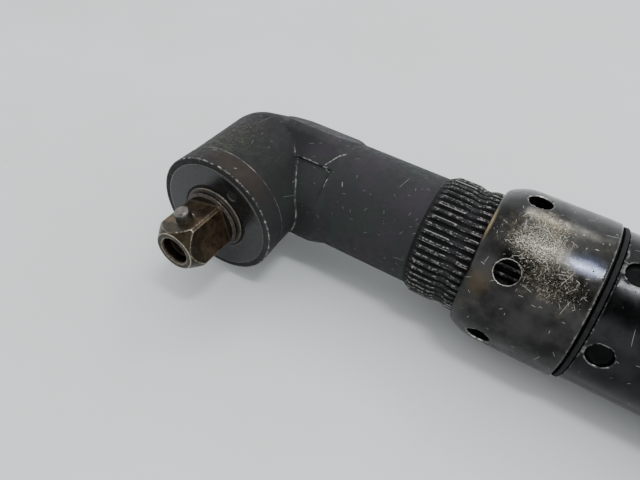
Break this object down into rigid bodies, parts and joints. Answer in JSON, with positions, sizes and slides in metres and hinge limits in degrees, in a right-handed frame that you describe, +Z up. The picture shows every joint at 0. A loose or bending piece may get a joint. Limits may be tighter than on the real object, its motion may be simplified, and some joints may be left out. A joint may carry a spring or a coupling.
{
  "type": "pneumatic angle nutrunner",
  "caption": "Right-angle air nutrunner: bevel angle head with a square drive and retaining pin, planetary gear case, vane motor, lever throttle and threaded air inlet.",
  "frame": {"origin": "centre of the square drive's end face", "axes": "+X along the handle to the air inlet, -Y out of the square drive, +Z up as the tool lies"},
  "size_m": [0.3754, 0.0827, 0.0456],
  "materials": {
    "head_steel": "phosphated and blackened, worn bright on the edges",
    "disc_steel": "blackened, satin",
    "drive_steel": "worn brown-black with bright edges",
    "pin_steel": "bare ground steel",
    "spring_steel": "bare wire",
    "nut_steel": "polished and blackened, scratched",
    "gear_steel": "ground, oiled",
    "bearing_steel": "ground and polished",
    "case_steel": "black oxide, oily gloss",
    "seal_rubber": "matt",
    "bronze": "sintered",
    "motor_iron": "ground",
    "housing_alloy": "black anodised",
    "handle_alloy": "black anodised",
    "deflector_plastic": "moulded, matt",
    "lever_steel": "blackened, rubbed bright by the hand",
    "inlet_steel": "blackened",
    "vane_plastic": "phenolic"
  },
  "bodies": {
    "tool": {"angle_head_housing": "head_steel", "spindle_retaining_nut": "disc_steel", "spindle_seal": "seal_rubber", "spindle_bearing_outer": "bearing_steel", "spindle_bearing_balls": "bearing_steel", "upper_bushing": "bronze", "pinion_front_bearing_outer": "bearing_steel", "pinion_front_bearing_balls": "bearing_steel", "pinion_rear_bearing_outer": "bearing_steel", "pinion_rear_bearing_balls": "bearing_steel", "pinion_bearing_retainer": "bearing_steel", "coupling_nut": "nut_steel", "coupling_split_ring": "gear_steel", "coupling_seal_ring": "seal_rubber", "gear_case": "case_steel", "ring_gear": "gear_steel", "carrier_bushing": "bronze", "motor_cylinder": "motor_iron", "front_end_plate": "motor_iron", "rear_end_plate": "motor_iron", "motor_housing": "housing_alloy", "rotor_front_bearing_outer": "bearing_steel", "rotor_front_bearing_balls": "bearing_steel", "rotor_rear_bearing_outer": "bearing_steel", "rotor_rear_bearing_balls": "bearing_steel", "handle": "handle_alloy", "exhaust_deflector": "deflector_plastic", "lever_pin": "pin_steel", "valve_sleeve": "bronze", "valve_cap": "lever_steel", "valve_spring": "spring_steel", "air_inlet_bushing": "inlet_steel", "inlet_screen": "bronze"},
    "spindle": {"drive_spindle": "drive_steel", "bevel_gear": "gear_steel", "spindle_bearing_inner": "bearing_steel", "socket_retainer_spring": "spring_steel"},
    "retainer": {"socket_retainer_pin": "pin_steel"},
    "shaft": {"bevel_pinion": "gear_steel", "pinion_front_bearing_inner": "bearing_steel", "pinion_rear_bearing_inner": "bearing_steel", "pinion_bearing_sleeve": "bearing_steel", "shaft_coupling": "gear_steel", "planet_carrier": "gear_steel", "planet_pin_1": "bearing_steel", "planet_pin_2": "bearing_steel", "planet_pin_3": "bearing_steel"},
    "planet_1": {"planet_gear_1": "gear_steel"},
    "planet_2": {"planet_gear_2": "gear_steel"},
    "planet_3": {"planet_gear_3": "gear_steel"},
    "rotor": {"rotor": "gear_steel", "rotor_front_bearing_inner": "bearing_steel", "rotor_rear_bearing_inner": "bearing_steel", "rotor_vane_1": "vane_plastic", "rotor_vane_2": "vane_plastic", "rotor_vane_3": "vane_plastic", "rotor_vane_4": "vane_plastic", "rotor_vane_5": "vane_plastic"},
    "lever": {"throttle_lever": "lever_steel"},
    "valve": {"throttle_valve": "pin_steel"}
  },
  "joints": [
    {"name": "rotor_spin", "type": "hinge", "parent": "tool", "child": "rotor", "pos_m": [0.165, 0.04953, 0], "axis": [1, 0, 0], "continuous": true},
    {"name": "shaft_spin", "type": "hinge", "parent": "tool", "child": "shaft", "pos_m": [0.05, 0.04953, 0], "axis": [1, 0, 0], "continuous": true},
    {"name": "planet_1_spin", "type": "hinge", "parent": "shaft", "child": "planet_1", "pos_m": [0.1132, 0.04953, 0.0108], "axis": [1, 0, 0], "continuous": true},
    {"name": "planet_2_spin", "type": "hinge", "parent": "shaft", "child": "planet_2", "pos_m": [0.1132, 0.04018, -0.0054], "axis": [1, 0, 0], "continuous": true},
    {"name": "planet_3_spin", "type": "hinge", "parent": "shaft", "child": "planet_3", "pos_m": [0.1132, 0.05888, -0.0054], "axis": [1, 0, 0], "continuous": true},
    {"name": "spindle_spin", "type": "hinge", "parent": "tool", "child": "spindle", "pos_m": [0, 0.04953, 0], "axis": [0, 1, 0], "continuous": true},
    {"name": "retainer_press", "type": "slide", "parent": "spindle", "child": "retainer", "axis": [0.2629, 0, -0.9648], "range_m": [0, 0.00288], "stiffness_N_per_m": 600, "springref_m": -0.003, "deforming": ["socket_retainer_spring"]},
    {"name": "lever_hinge", "type": "hinge", "parent": "tool", "child": "lever", "pos_m": [0.226, 0.07553, 0], "axis": [0, 0, -1], "range_deg": [0, 4], "stiffness_Nm_per_rad": 3, "springref_deg": -8.59},
    {"name": "valve_slide", "type": "slide", "parent": "tool", "child": "valve", "axis": [0, -1, 0], "range_m": [0, 0.005], "deforming": ["valve_spring"]}
  ],
  "couplings": [
    {"joint": "shaft_spin", "follows": "rotor_spin", "ratio": 0.25},
    {"joint": "planet_1_spin", "follows": "rotor_spin", "ratio": -0.75},
    {"joint": "planet_2_spin", "follows": "rotor_spin", "ratio": -0.75},
    {"joint": "planet_3_spin", "follows": "rotor_spin", "ratio": -0.75},
    {"joint": "spindle_spin", "follows": "rotor_spin", "ratio": 0.19444},
    {"joint": "valve_slide", "follows": "lever_hinge", "m_per_rad": 0.07}
  ]
}
